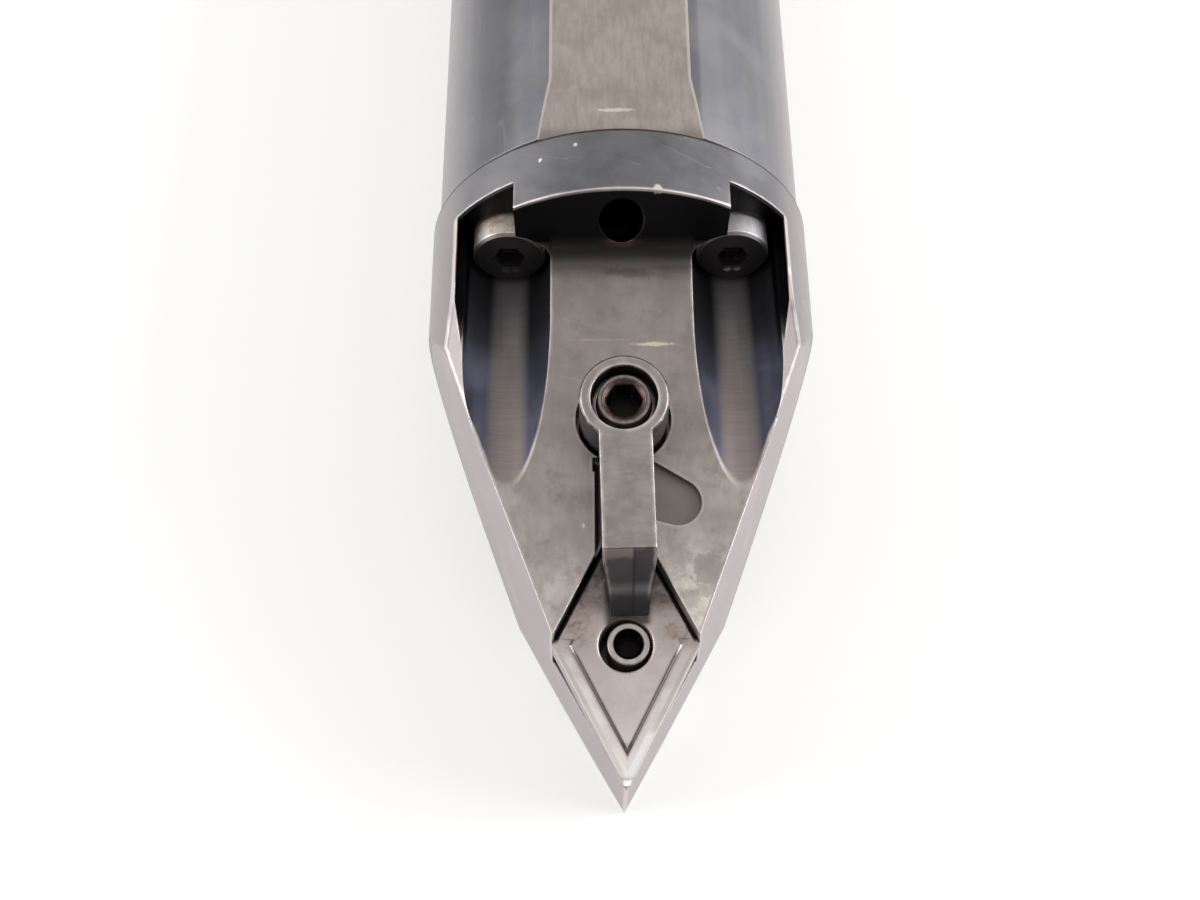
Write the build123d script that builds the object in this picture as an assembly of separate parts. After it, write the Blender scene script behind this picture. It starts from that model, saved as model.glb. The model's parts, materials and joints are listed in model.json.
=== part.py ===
from build123d import *
import math
import os

# Boring bar with a bolt-on neutral profiling head, in millimetres.
# The bar axis is Y, the nose points to -Y, +Z is up, the joint face is Y = 0.

# bar
bar_r = 20.0
bar_length = 240.0
bar_rear_chamfer = 1.5
bar_front_chamfer = 0.35
top_flat_half = 7.3
top_flat_end_half = 8.6
top_flat_relief = 8.0
base_flat_half = 6.0
coolant_bore_r = 4.0
port_r = 5.9
port_depth = 15.0
port_face_r = 9.0

# joint
spigot_r = 9.0
spigot_length = 3.5
socket_clearance = 0.05
seal_r = 0.75
seal_y = 1.9
seal_groove_width = 1.7
dowel_r = 1.5
dowel_length = 8.0
dowel_angle = 215.0
dowel_pitch_r = 14.3

# head screws: socket cap screws, their axes rise toward the nose
screw_x = 11.7
screw_z = 8.4
screw_tilt = 5.6
screw_ref_y = -8.0
screw_seat = 5.2
screw_head_r = 3.75
screw_head_height = 4.6
screw_r = 2.0
screw_length = 14.0
screw_hex = 3.0
thread_clearance = 0.03
lower_screw_z = -14.3
access_r = 4.4

# cutting head
head_r = 20.6
head_edge = 0.4
head_front = 64.0
band_depth = 4.6
tab_depth = 7.7
tab_half = 10.8
pocket_in = 7.3
pocket_out = 16.9
pocket_out_end = 14.4
pocket_wall_end = 19.5
land_z = 10.0
land_tilt = 7.8
land_fillet = 2.2
side_origin = (12.31, -34.0, 6.44)
side_normal = (0.930, -0.365, 0.038)
bevel_origin = (17.22, -13.94, 11.31)
bevel_normal = (-0.500, -0.181, 0.847)
bevel_end = 26.6
flank_origin = (7.0, -47.76, 1.86)
flank_normal = (0.869, -0.495, -0.030)
coolant_exit_z = 15.3
coolant_exit_r = 2.3
coolant_angle = 52.0

# insert, shim and lock pin
insert_ic = 12.7
insert_t = 4.76
insert_angle = 55.0
insert_nose_r = 0.8
insert_hole_r = 2.58
insert_y = -47.76
insert_z = 1.86
shim_ic = 12.3
shim_t = 3.18
shim_hole_r = 2.6
seat_clearance = 0.08
pin_head_r = 2.08
pin_stem_r = 1.6
pin_sunk = 0.5
pin_length = 15.0
pin_offset = (0.27, 0.20)
pin_hex = 2.3
pin_mouth_r = 1.48

# clamp
clamp_y = -26.1
clamp_ring_r = 4.38
clamp_ring_top = 6.15
clamp_bore_r = 3.25
clamp_bore_depth = 2.2
clamp_barrel_depth = 7.0
clamp_arm_half = 2.55
clamp_arm_top = 5.4
clamp_nose_z = -2.62
clamp_turn = 1.3
clamp_mouth_r = 4.75
clamp_mouth_depth = 2.5
clamp_guide_r = 4.45
clamp_recess = 0.7
clamp_slot = 1.6
clamp_screw_r = 2.6
clamp_screw_sunk = 0.7
clamp_screw_length = 17.0
clamp_screw_hex = 3.2
running = 0.06


def along(y0, y1, r, x=0.0, z=0.0):
    """Cylinder along Y from y0 to y1."""
    body = Cylinder(r, abs(y1 - y0), align=(Align.CENTER, Align.CENTER, Align.MIN))
    return Pos(x, max(y0, y1), z) * Rot(90, 0, 0) * body


def block(x0, x1, y0, y1, z0, z1):
    """Box between two corners."""
    size = (abs(x1 - x0), abs(y1 - y0), abs(z1 - z0))
    centre = ((x0 + x1) / 2, (y0 + y1) / 2, (z0 + z1) / 2)
    return Pos(*centre) * Box(*size)


def half_space(origin, normal, size=160.0):
    """Large box on the side of a plane that its normal points to."""
    plane = Plane(origin=origin, z_dir=normal)
    return plane * Box(size, size, size, align=(Align.CENTER, Align.CENTER, Align.MIN))


def land_frame(y, height=0.0):
    """Location on the land, its Z along the land's normal."""
    z = land_z - math.tan(math.radians(land_tilt)) * (-tab_depth - y)
    return Pos(0, y, z) * Rot(land_tilt, 0, 0) * Pos(0, 0, height)


def seat_frame(height=0.0):
    """Location at the insert's hole, on its top face, Z along its normal."""
    return Pos(0, insert_y, insert_z) * Rot(land_tilt, 0, 0) * Pos(0, 0, height)


def rhombus(ic, angle=insert_angle):
    """Rhombus with its acute corners on the Y axis."""
    half = math.radians(angle / 2)
    a = ic / 2 / math.sin(half)
    b = ic / 2 / math.cos(half)
    return make_face(Polyline((0, -a), (b, 0), (0, a), (-b, 0), close=True))


def screw_axis(side):
    """Location on a head screw's axis at screw_ref_y, Z toward the nose."""
    if side == 0:
        return Pos(0, screw_ref_y, lower_screw_z) * Rot(90 + screw_tilt, 0, 0)
    return Pos(side * screw_x, screw_ref_y, screw_z) * Rot(90 - screw_tilt, 0, 0)


def hex_prism(across_flats, depth):
    """Hexagonal prism standing on Z = 0 downward."""
    return extrude(RegularPolygon(across_flats / 2, 6, major_radius=False), -depth)


def cap_screw(side):
    """Socket cap screw: head, shank and hexagon socket."""
    head = Cylinder(screw_head_r, screw_head_height, align=(Align.CENTER, Align.CENTER, Align.MIN))
    head = chamfer(head.edges().group_by(Axis.Z)[-1], 0.35)
    stem = Cylinder(screw_r, screw_length, align=(Align.CENTER, Align.CENTER, Align.MAX))
    stem = chamfer(stem.edges().group_by(Axis.Z)[0], 0.5)
    body = head + stem - Pos(0, 0, screw_head_height) * hex_prism(screw_hex, 2.2)
    return screw_axis(side) * Pos(0, 0, -screw_seat) * body


def shank():
    """Round bar with a top flat, a base flat, coolant bore, port and tapped holes."""
    bar = along(0, bar_length, bar_r)
    bar = chamfer(bar.edges().group_by(Axis.Y)[-1], bar_rear_chamfer)
    bar = chamfer(bar.edges().group_by(Axis.Y)[0], bar_front_chamfer)
    top = math.sqrt(bar_r**2 - top_flat_half**2)
    end = math.sqrt(bar_r**2 - top_flat_end_half**2)
    bar -= block(-20, 20, -1, bar_length + 1, top, top + 10)
    drop = top - end
    bar -= half_space((0, 0, end), (0, -drop, top_flat_relief))
    base = math.sqrt(bar_r**2 - base_flat_half**2)
    bar -= block(-20, 20, -1, bar_length + 1, -base - 10, -base)
    bar -= along(-1, bar_length + 1, coolant_bore_r)
    bar -= along(bar_length - port_depth, bar_length + 1, port_r)
    bar -= along(bar_length - 0.8, bar_length + 1, port_face_r)
    bar -= along(-1, spigot_length + 0.4, spigot_r + socket_clearance)
    for side in (-1, 0, 1):
        stem = Cylinder(screw_r + thread_clearance, 16, align=(Align.CENTER, Align.CENTER, Align.MAX))
        bar -= screw_axis(side) * Pos(0, 0, -screw_seat) * stem
    return bar - dowel_hole()


def dowel_place():
    """Centre of the locating dowel on the joint face."""
    a = math.radians(dowel_angle)
    return dowel_pitch_r * math.cos(a), dowel_pitch_r * math.sin(a)


def dowel_hole():
    """Hole for the dowel, through the joint face."""
    x, z = dowel_place()
    return along(-dowel_length / 2, dowel_length / 2, dowel_r, x, z)


def dowel():
    """Locating dowel across the joint."""
    x, z = dowel_place()
    pin = along(-dowel_length / 2 + 0.1, dowel_length / 2 - 0.1, dowel_r, x, z)
    return chamfer(pin.edges().group_by(Axis.Y)[0] + pin.edges().group_by(Axis.Y)[-1], 0.3)


def seal():
    """O-ring on the spigot."""
    return Pos(0, seal_y, 0) * Rot(90, 0, 0) * Torus(spigot_r + socket_clearance - seal_r, seal_r)


def head_blank():
    """Turned blank with its spigot at the joint."""
    blank = along(-head_front, 0, head_r)
    blank = chamfer(blank.edges().group_by(Axis.Y)[-1], head_edge)
    blank += along(-0.5, spigot_length, spigot_r)
    groove = along(seal_y - seal_groove_width / 2, seal_y + seal_groove_width / 2, spigot_r + 1)
    floor_r = spigot_r + socket_clearance - 2 * seal_r
    groove -= along(seal_y - 2, seal_y + 2, floor_r)
    return blank - groove


def land_cut():
    """Everything above the land, in front of the tab wall."""
    frame = land_frame(-tab_depth)
    cut = block(-screw_x, screw_x, -tab_depth, -90, -10, 60)
    cut &= frame * Box(80, 160, 60, align=(Align.CENTER, Align.CENTER, Align.MIN))
    inner = cut.edges().filter_by(Axis.X).sort_by(Axis.Z)[:4].sort_by(Axis.Y)[-1]
    cut = fillet(inner, land_fillet)
    front = land_frame(-26.0) * Box(80, 120, 60, align=(Align.CENTER, Align.MAX, Align.MIN))
    return cut + front


def pocket_cut(side):
    """Screw pocket: open slot above the screw axis and the round access groove."""
    z0 = screw_z
    inner = block(side * pocket_in, side * screw_x, -tab_depth, -45, z0 + 2.6, 40)
    outer = block(side * screw_x, side * pocket_out, -band_depth, -pocket_out_end, z0 + 0.3, 40)
    outer += block(side * tab_half, side * screw_x, -band_depth, -tab_depth, z0, 40)
    wall = Polyline(
        (side * screw_x, -band_depth), (side * pocket_out, -band_depth),
        (side * pocket_out, -pocket_out_end), (side * (screw_x + access_r), -pocket_wall_end),
        (side * (screw_x + access_r), -45), (side * screw_x, -45), close=True
    )
    run = Pos(0, 0, z0 + 1.2) * extrude(make_face(wall), 40, dir=(0, 0, 1))
    low = block(side * pocket_in, side * screw_x, -tab_depth, -14.0, z0, 40)
    bore = Cylinder(access_r, 60, align=(Align.CENTER, Align.CENTER, Align.MIN))
    groove = screw_axis(side) * Pos(0, 0, -screw_seat) * bore
    return inner + outer + run + low + groove


def lower_cut():
    """Open pocket for the third head screw, on the underside."""
    slot = block(-access_r, access_r, -band_depth, -30, lower_screw_z, -40)
    bore = Cylinder(access_r, 26, align=(Align.CENTER, Align.CENTER, Align.MIN))
    return slot + screw_axis(0) * Pos(0, 0, -screw_seat) * bore


def insert_seat():
    """Pocket for shim and insert, with a relief hole at its inner corner."""
    depth = insert_t + shim_t
    plan = rhombus(insert_ic + 2 * seat_clearance)
    half = math.radians(insert_angle / 2)
    a = (insert_ic / 2 + seat_clearance) / math.sin(half)
    b = (insert_ic / 2 + seat_clearance) / math.cos(half)
    front = make_face(Polyline((-b, 0), (-b - 12, -20), (b + 12, -20), (b, 0), close=True))
    cut = extrude(plan, 30) + extrude(front, 30)
    relief = Pos(0, a - 0.9, 0) * Cylinder(0.9, 30, align=(Align.CENTER, Align.CENTER, Align.MIN))
    return seat_frame(-depth) * (cut + relief)


def clamp_cut():
    """Bore for the clamp barrel, thread hole and the swing recess beside the arm."""
    frame = land_frame(clamp_y)
    mouth = Cylinder(clamp_mouth_r, clamp_mouth_depth + 10, align=(Align.CENTER, Align.CENTER, Align.MIN))
    guide = Cylinder(clamp_guide_r, clamp_barrel_depth + 0.6, align=(Align.CENTER, Align.CENTER, Align.MAX))
    thread = Cylinder(clamp_screw_r + running, 14.5, align=(Align.CENTER, Align.CENTER, Align.MAX))
    cut = Pos(0, 0, -clamp_mouth_depth) * mouth + guide + thread
    recess = make_hull(
        (Pos(5.15, -8.66) * Circle(2.38)).edges() + (Pos(0.5, -6.6) * Circle(3.1)).edges()
    )
    cut += extrude(recess, -clamp_recess) + extrude(recess, 3)
    cut += block(-2.9, 2.2, -4, -20, -clamp_slot, 3)
    cut += block(-3.1, 0, -4, -5.5, -clamp_slot, 3)
    return frame * cut


def cutting_head():
    """Cutting head in one piece."""
    head = head_blank()
    head -= land_cut()
    for side in (-1, 1):
        nx, ny, nz = side_normal
        ox, oy, oz = side_origin
        head -= half_space((side * ox, oy, oz), (side * nx, ny, nz))
        bx, by, bz = bevel_normal
        px, py, pz = bevel_origin
        bevel = half_space((side * px, py, pz), (side * bx, by, bz))
        bevel &= land_frame(-8.0) * Box(80, 160, 60, align=(Align.CENTER, Align.CENTER, Align.MIN))
        head -= bevel & block(side * screw_x, side * 30, -8, -bevel_end, 0, 60)
        fx, fy, fz = flank_normal
        qx, qy, qz = flank_origin
        head -= half_space((side * qx, qy, qz), (side * fx, fy, fz))
        head -= pocket_cut(side)
    head -= lower_cut()
    head -= insert_seat()
    head -= clamp_cut()
    pin_hole = Cylinder(pin_stem_r + running, 12, align=(Align.CENTER, Align.CENTER, Align.MAX))
    head -= seat_frame(-insert_t - shim_t + 0.5) * pin_hole
    exit_hole = Cylinder(coolant_exit_r, 40, align=(Align.CENTER, Align.CENTER, Align.CENTER))
    limit = block(-5, 5, spigot_length + 1, -13, -10, 40)
    place = Pos(0, -tab_depth, coolant_exit_z) * Rot(90 - coolant_angle, 0, 0)
    head -= (place * exit_hole) & limit
    for side in (-1, 0, 1):
        stem = Cylinder(screw_r + 0.25, 20, align=(Align.CENTER, Align.CENTER, Align.MAX))
        head -= screw_axis(side) * Pos(0, 0, -screw_seat + 0.1) * stem
    return head - dowel_hole()


def insert():
    """Reversible 55 degree insert with a chip groove on its top face."""
    plan = rhombus(insert_ic)
    acute = plan.vertices().group_by(Axis.X)[1]
    plan = fillet(acute, insert_nose_r)
    body = extrude(plan, -insert_t)
    outer = extrude(rhombus(insert_ic - 0.6), -0.22, taper=45)
    island = extrude(rhombus(insert_ic - 3.9), -0.22, taper=-60)
    body -= outer - island
    body -= Cylinder(insert_hole_r, 20)
    rim = Cone(insert_hole_r, insert_hole_r + 0.35, 0.35, align=(Align.CENTER, Align.CENTER, Align.MAX))
    return seat_frame() * (body - rim)


def shim():
    """Hard shim under the insert."""
    plan = rhombus(shim_ic)
    plan = fillet(plan.vertices().group_by(Axis.X)[1], 0.6)
    body = extrude(plan, -shim_t) - Cylinder(shim_hole_r, 20)
    return seat_frame(-insert_t) * body


def lock_pin():
    """Eccentric lock pin: round head in the insert's hole, stem in the head."""
    reach = insert_t + shim_t - pin_sunk - 0.6
    top = Cylinder(pin_head_r, reach, align=(Align.CENTER, Align.CENTER, Align.MAX))
    top = chamfer(top.edges().group_by(Axis.Z)[-1], 0.12)
    top -= hex_prism(pin_hex, 2.5)
    top -= Cone(pin_mouth_r - 0.3, pin_mouth_r, 0.5, align=(Align.CENTER, Align.CENTER, Align.MAX))
    stem = Cylinder(pin_stem_r, pin_length, align=(Align.CENTER, Align.CENTER, Align.MAX))
    stem -= Cylinder(pin_stem_r + 1, reach - 0.5, align=(Align.CENTER, Align.CENTER, Align.MAX))
    return seat_frame(-pin_sunk) * (Pos(*pin_offset, 0) * top + stem)


def clamp():
    """Clamp: barrel with a ring on top, arm and a sloping nose on the insert."""
    barrel = Pos(0, 0, -clamp_barrel_depth) * Cylinder(
        clamp_ring_r, clamp_barrel_depth + clamp_ring_top, align=(Align.CENTER, Align.CENTER, Align.MIN)
    )
    barrel = chamfer(barrel.edges().group_by(Axis.Z)[-1], 0.25)
    profile = Polyline(
        (0, clamp_ring_top), (-clamp_ring_r, clamp_ring_top), (-14.8, clamp_arm_top), (-15.4, 4.4),
        (-17.25, 0.4), (-19.45, clamp_nose_z),
        (-17.0, clamp_nose_z), (-15.7, 0.15), (0, 0.15), close=True
    )
    arm = extrude(Plane.YZ * make_face(profile), clamp_arm_half, both=True)
    taper = Polyline(
        (-clamp_arm_half, 0), (clamp_arm_half, 0), (clamp_arm_half, -15.4),
        (2.08, -17.3), (1.75, -20), (-1.75, -20), (-2.08, -17.3), (-clamp_arm_half, -15.4), close=True
    )
    arm &= Pos(0, 0, -5) * extrude(make_face(taper), 20)
    body = barrel + arm
    body -= Pos(0, 0, clamp_ring_top - clamp_bore_depth) * Cylinder(
        clamp_bore_r, 10, align=(Align.CENTER, Align.CENTER, Align.MIN)
    )
    body -= Cylinder(clamp_screw_r + running, 60)
    return land_frame(clamp_y) * Rot(0, 0, clamp_turn) * body


def clamp_screw():
    """Headless clamp screw with a hexagon socket."""
    body = Cylinder(clamp_screw_r, clamp_screw_length, align=(Align.CENTER, Align.CENTER, Align.MAX))
    body = chamfer(body.edges().group_by(Axis.Z)[-1], 0.12)
    body = chamfer(body.edges().group_by(Axis.Z)[0], 0.5)
    body -= hex_prism(clamp_screw_hex, 3.2)
    body -= Cone(1.7, 2.1, 0.4, align=(Align.CENTER, Align.CENTER, Align.MAX))
    return land_frame(clamp_y, clamp_ring_top - clamp_screw_sunk) * body


pieces = {
    "shank": shank(),
    "cutting_head": cutting_head(),
    "head_screw_left": cap_screw(-1),
    "head_screw_right": cap_screw(1),
    "head_screw_lower": cap_screw(0),
    "coolant_seal": seal(),
    "locating_dowel": dowel(),
    "insert": insert(),
    "shim": shim(),
    "lock_pin": lock_pin(),
    "clamp": clamp(),
    "clamp_screw": clamp_screw(),
}

os.makedirs("parts", exist_ok=True)
for name, solid in pieces.items():
    solid.label = name
    export_step(solid, "parts/" + name + ".step")
    print(name, len(solid.solids()), round(solid.volume, 1))
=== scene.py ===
import json
import math
import bmesh
import bpy
from mathutils import Matrix, Vector

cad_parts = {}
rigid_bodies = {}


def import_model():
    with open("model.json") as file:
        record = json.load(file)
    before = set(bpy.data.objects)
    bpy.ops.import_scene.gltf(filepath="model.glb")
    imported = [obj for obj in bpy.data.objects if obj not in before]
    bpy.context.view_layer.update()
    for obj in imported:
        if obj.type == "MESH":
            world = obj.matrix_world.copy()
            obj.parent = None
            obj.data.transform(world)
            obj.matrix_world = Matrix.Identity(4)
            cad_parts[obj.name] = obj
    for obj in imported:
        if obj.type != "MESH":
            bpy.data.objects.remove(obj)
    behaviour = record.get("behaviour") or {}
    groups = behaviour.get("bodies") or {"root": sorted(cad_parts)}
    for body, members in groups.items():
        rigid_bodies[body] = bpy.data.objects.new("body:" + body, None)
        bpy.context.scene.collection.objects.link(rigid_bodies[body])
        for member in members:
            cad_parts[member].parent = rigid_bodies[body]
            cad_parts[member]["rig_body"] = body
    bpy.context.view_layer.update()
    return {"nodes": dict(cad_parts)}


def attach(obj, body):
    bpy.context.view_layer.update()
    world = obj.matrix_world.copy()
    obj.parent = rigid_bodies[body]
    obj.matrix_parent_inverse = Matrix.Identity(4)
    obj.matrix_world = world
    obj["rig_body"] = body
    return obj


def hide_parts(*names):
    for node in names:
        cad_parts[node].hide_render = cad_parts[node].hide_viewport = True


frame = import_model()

# ---------------------------------------------------------------------------
# Camera and studio
# A close, steep look at the cutting end. The tool lies on a pale sheet in even
# light that comes mostly from the sides, as in a small white light tent.
# ---------------------------------------------------------------------------
pitch = 0.472111
swing = 0.003417
roll = 0.007011
view_from = (-0.0028448, -0.0952880, 0.1362164)
floor_z = -0.0206
floor_half = 3.0

ahead = Vector((0, math.sin(pitch), -math.cos(pitch)))
right = Vector((1, 0, 0))
down = Vector((0, -math.cos(pitch), -math.sin(pitch)))
look = math.cos(swing) * ahead + math.sin(swing) * right
side = math.cos(swing) * right - math.sin(swing) * ahead
across = math.cos(roll) * side + math.sin(roll) * down
up = math.sin(roll) * side - math.cos(roll) * down

lens = bpy.data.cameras.new("lens")
lens.sensor_fit = "HORIZONTAL"
lens.sensor_width = 36.0
lens.lens = 44.047
lens.clip_start = 0.005
camera = bpy.data.objects.new("camera", lens)
bpy.context.scene.collection.objects.link(camera)
turn = Matrix((across, up, -look)).transposed().to_4x4()
camera.matrix_world = Matrix.Translation(view_from) @ turn
bpy.context.scene.camera = camera
bpy.context.scene.view_settings.view_transform = "Standard"


def put(tree, kind, inputs=None, **settings):
    """A node with its settings and inputs; a socket given as an input is linked."""
    node = tree.nodes.new(kind)
    for key, value in settings.items():
        setattr(node, key, value)
    for key, value in (inputs or {}).items():
        if isinstance(value, bpy.types.NodeSocket):
            tree.links.new(value, node.inputs[key])
        else:
            node.inputs[key].default_value = value
    return node


def calc(tree, operation, a, b=0.0, c=0.0):
    """Result of a Math node."""
    return put(tree, "ShaderNodeMath", {0: a, 1: b, 2: c}, operation=operation).outputs[0]


def between(tree, value, low, high, start=0.0, end=1.0):
    """Value carried smoothly from low..high to start..end."""
    node = put(tree, "ShaderNodeMapRange", {0: value, 1: low, 2: high, 3: start, 4: end},
               interpolation_type="SMOOTHSTEP")
    return node.outputs[0]


def here(tree, kind="Object"):
    """Place of the shaded point on its object, or its normal there."""
    return put(tree, "ShaderNodeTexCoord").outputs[kind]


def axes(tree, vector):
    """X, Y and Z of a vector."""
    return put(tree, "ShaderNodeSeparateXYZ", {0: vector}).outputs


sheet = bpy.data.materials.new("pale sheet")
sheet.use_nodes = True
tree = sheet.node_tree
tree.nodes.clear()
ray = put(tree, "ShaderNodeLightPath").outputs
seen = calc(tree, "MAXIMUM", ray["Is Camera Ray"], ray["Is Glossy Ray"])
seen = calc(tree, "MAXIMUM", seen, ray["Is Transmission Ray"])
# painted shade on the sheet: its glow is weaker toward the front
depth = between(tree, axes(tree, here(tree))["Y"], -0.100, -0.050, 0.27, 0.39)
seen = calc(tree, "MULTIPLY", seen, depth)
paper = put(tree, "ShaderNodeBsdfDiffuse", {"Color": (0.66, 0.66, 0.655, 1)})
glow = put(tree, "ShaderNodeEmission", {"Color": (1, 0.995, 0.985, 1), "Strength": seen})
lit = put(tree, "ShaderNodeAddShader", {0: paper.outputs[0], 1: glow.outputs[0]})
put(tree, "ShaderNodeOutputMaterial", {"Surface": lit.outputs[0]})

mesh = bpy.data.meshes.new("floor")
corners = [(x * floor_half, y * floor_half, floor_z) for x, y in ((-1, -1), (1, -1), (1, 1), (-1, 1))]
mesh.from_pydata(corners, [], [(0, 1, 2, 3)])
mesh.materials.append(sheet)
floor = bpy.data.objects.new("floor", mesh)
bpy.context.scene.collection.objects.link(floor)

sky = bpy.data.worlds.new("tent")
bpy.context.scene.world = sky
sky.use_nodes = True
tree = sky.node_tree
tree.nodes.clear()
way = axes(tree, here(tree, "Generated"))
height = between(tree, way["Z"], 0.20, 0.95, 0.95, 0.62)
front = between(tree, way["Y"], -0.15, -0.75, 1.0, 0.30)
ray = put(tree, "ShaderNodeLightPath").outputs
level = calc(tree, "MAXIMUM", calc(tree, "MULTIPLY", height, front), ray["Is Camera Ray"])
tent = put(tree, "ShaderNodeBackground", {"Color": (1, 0.995, 0.985, 1), "Strength": level})
put(tree, "ShaderNodeOutputWorld", {"Surface": tent.outputs[0]})

for name, place, power in (("left box", (-0.55, 0.02, 0.24), 2.6), ("right box", (0.58, 0.02, 0.26), 3.8)):
    lamp = bpy.data.lights.new(name, "AREA")
    lamp.shape = "RECTANGLE"
    lamp.size = 0.5
    lamp.size_y = 0.4
    lamp.energy = power
    box = bpy.data.objects.new(name, lamp)
    bpy.context.scene.collection.objects.link(box)
    toward = (-Vector(place)).to_track_quat("-Z", "Y")
    box.matrix_world = Matrix.Translation(place) @ toward.to_matrix().to_4x4()

# ---------------------------------------------------------------------------
# Bar
# Round tool-steel bar, ground and then blued, with one flat worn bright along
# the top and one along the underside. The clamping sleeves rub both.
# ---------------------------------------------------------------------------
bar_radius = 0.020


def ink(red, green, blue):
    """Colour written as on screen, 0 to 255, turned to scene values."""
    return tuple((v / 255 / 12.92) if v < 11 else ((v / 255 + 0.055) / 1.055) ** 2.4
                 for v in (red, green, blue)) + (1.0,)


def vmath(tree, operation, a, b=(0.0, 0.0, 0.0)):
    """Result of a Vector Math node: a number for a length or a dot product, else a vector."""
    node = put(tree, "ShaderNodeVectorMath", {0: a, 1: b}, operation=operation)
    return node.outputs["Value" if operation in ("LENGTH", "DOT_PRODUCT") else "Vector"]


def meet(tree, *masks):
    """Where all masks meet. A plain number weakens the others."""
    total = masks[0]
    for mask in masks[1:]:
        total = calc(tree, "MULTIPLY", total, mask)
    return total


def other(tree, mask):
    """Where the mask is not."""
    return calc(tree, "SUBTRACT", 1.0, mask)


def shade(tree, mask, under, over, share=1.0):
    """Colour under, covered by a share of the colour over where the mask is 1."""
    if share != 1.0:
        mask = meet(tree, mask, share)
    node = put(tree, "ShaderNodeMix", {0: mask, 6: under, 7: over}, data_type="RGBA",
               blend_type="MIX", clamp_factor=True)
    return node.outputs[2]


def effect(name, inputs, outputs):
    """Empty shader node group: the tree, its inputs and its outputs."""
    tree = bpy.data.node_groups.new(name, "ShaderNodeTree")
    for key, value in inputs.items():
        kind = "NodeSocketVector" if isinstance(value, tuple) else "NodeSocketFloat"
        socket = tree.interface.new_socket(key, in_out="INPUT", socket_type=kind)
        socket.default_value = value
    for key in outputs:
        tree.interface.new_socket(key, in_out="OUTPUT", socket_type="NodeSocketFloat")
    return tree, put(tree, "NodeGroupInput").outputs, put(tree, "NodeGroupOutput").inputs


def use(tree, group, **values):
    """Places an effect in a material and returns its outputs."""
    return put(tree, "ShaderNodeGroup", values, node_tree=group).outputs


def cloud(tree, scale, detail=3.0, rough=0.55, vector=None):
    """Noise on the object's own coordinates, about 0 to 1."""
    if vector is None:
        vector = here(tree)
    node = put(tree, "ShaderNodeTexNoise", {"Vector": vector, "Scale": scale, "Detail": detail,
                                            "Roughness": rough})
    return node.outputs["Fac"]


def mottled(tree, scale, rough=0.6):
    """Broad, soft patches, 0 to 1."""
    return between(tree, cloud(tree, scale, 4.0, rough), 0.35, 0.68)


edge_wear, given, gives = effect(
    "edge wear", {"Reach": 0.0006, "Strength": 2.0, "Patches": 700.0}, ["Mask"])
inner = put(edge_wear, "ShaderNodeAmbientOcclusion", {"Distance": given["Reach"]},
            inside=True, only_local=True, samples=8)
patch = between(edge_wear, cloud(edge_wear, given["Patches"]), 0.3, 0.7, 0.55, 1.15)
corner = meet(edge_wear, other(edge_wear, inner.outputs["AO"]), given["Strength"], patch)
edge_wear.links.new(between(edge_wear, corner, 0.15, 0.95), gives["Mask"])

tool_marks, given, gives = effect(
    "tool marks", {"Stretch": (1.0, 1.0, 1.0), "Scale": 1000.0}, ["Height", "Tint"])
spot = vmath(tool_marks, "MULTIPLY", here(tool_marks), given["Stretch"])
fine = cloud(tool_marks, given["Scale"], 4.0, 0.65, spot)
tool_marks.links.new(fine, gives["Height"])
tool_marks.links.new(between(tool_marks, fine, 0.3, 0.7), gives["Tint"])

scratches, given, gives = effect("scratches", {"Turn": 0.4, "Scale": 300.0, "Amount": 0.5}, ["Mask"])
spot = put(scratches, "ShaderNodeVectorRotate", {"Vector": here(scratches), "Angle": given["Turn"]},
           rotation_type="Z_AXIS").outputs[0]
drawn = vmath(scratches, "MULTIPLY", spot, (0.06, 1.6, 1.0))
line = calc(scratches, "SUBTRACT", cloud(scratches, given["Scale"], 1.0, 0.4, drawn), 0.5)
line = between(scratches, calc(scratches, "ABSOLUTE", line), 0.0, 0.012, 1.0, 0.0)
where = between(scratches, cloud(scratches, 180.0, 2.0, 0.5, drawn), 0.52, 0.66)
scratches.links.new(meet(scratches, where, given["Amount"], line), gives["Mask"])

mark_and_glint, given, gives = effect(
    "mark and glint", {"Centre": (0.0, 0.0, 0.0), "Half": (1.0, 1.0, 1.0), "Breaks": 1500.0}, ["Mask"])
away = vmath(mark_and_glint, "SUBTRACT", here(mark_and_glint), given["Centre"])
away = vmath(mark_and_glint, "LENGTH", vmath(mark_and_glint, "DIVIDE", away, given["Half"]))
away = calc(mark_and_glint, "ADD", away, meet(mark_and_glint, cloud(mark_and_glint, given["Breaks"]), 1.2))
mark_and_glint.links.new(between(mark_and_glint, away, 1.6, 1.0), gives["Mask"])


def metal(name, metallic):
    """Material with a Principled shader: material, tree and shader."""
    material = bpy.data.materials.new(name)
    material.use_nodes = True
    tree = material.node_tree
    tree.nodes.clear()
    shader = put(tree, "ShaderNodeBsdfPrincipled", {"Metallic": metallic})
    put(tree, "ShaderNodeOutputMaterial", {"Surface": shader.outputs[0]})
    return material, tree, shader


def finish(tree, shader, colour, roughness, height, depth, rounding=0.0):
    """Joins colour, roughness and bump to the shader. Depth and rounding are in metres."""
    tree.links.new(colour, shader.inputs["Base Color"])
    tree.links.new(roughness, shader.inputs["Roughness"])
    bump = put(tree, "ShaderNodeBump", {"Height": height, "Strength": 1.0, "Distance": depth})
    if rounding:
        soft = put(tree, "ShaderNodeBevel", {"Radius": rounding}, samples=6)
        tree.links.new(soft.outputs[0], bump.inputs["Normal"])
    tree.links.new(bump.outputs[0], shader.inputs["Normal"])


def from_axis(tree, spot):
    """Distance from the bar's axis."""
    return vmath(tree, "LENGTH", put(tree, "ShaderNodeCombineXYZ", {0: spot["X"], 1: spot["Z"]}).outputs[0])


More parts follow.
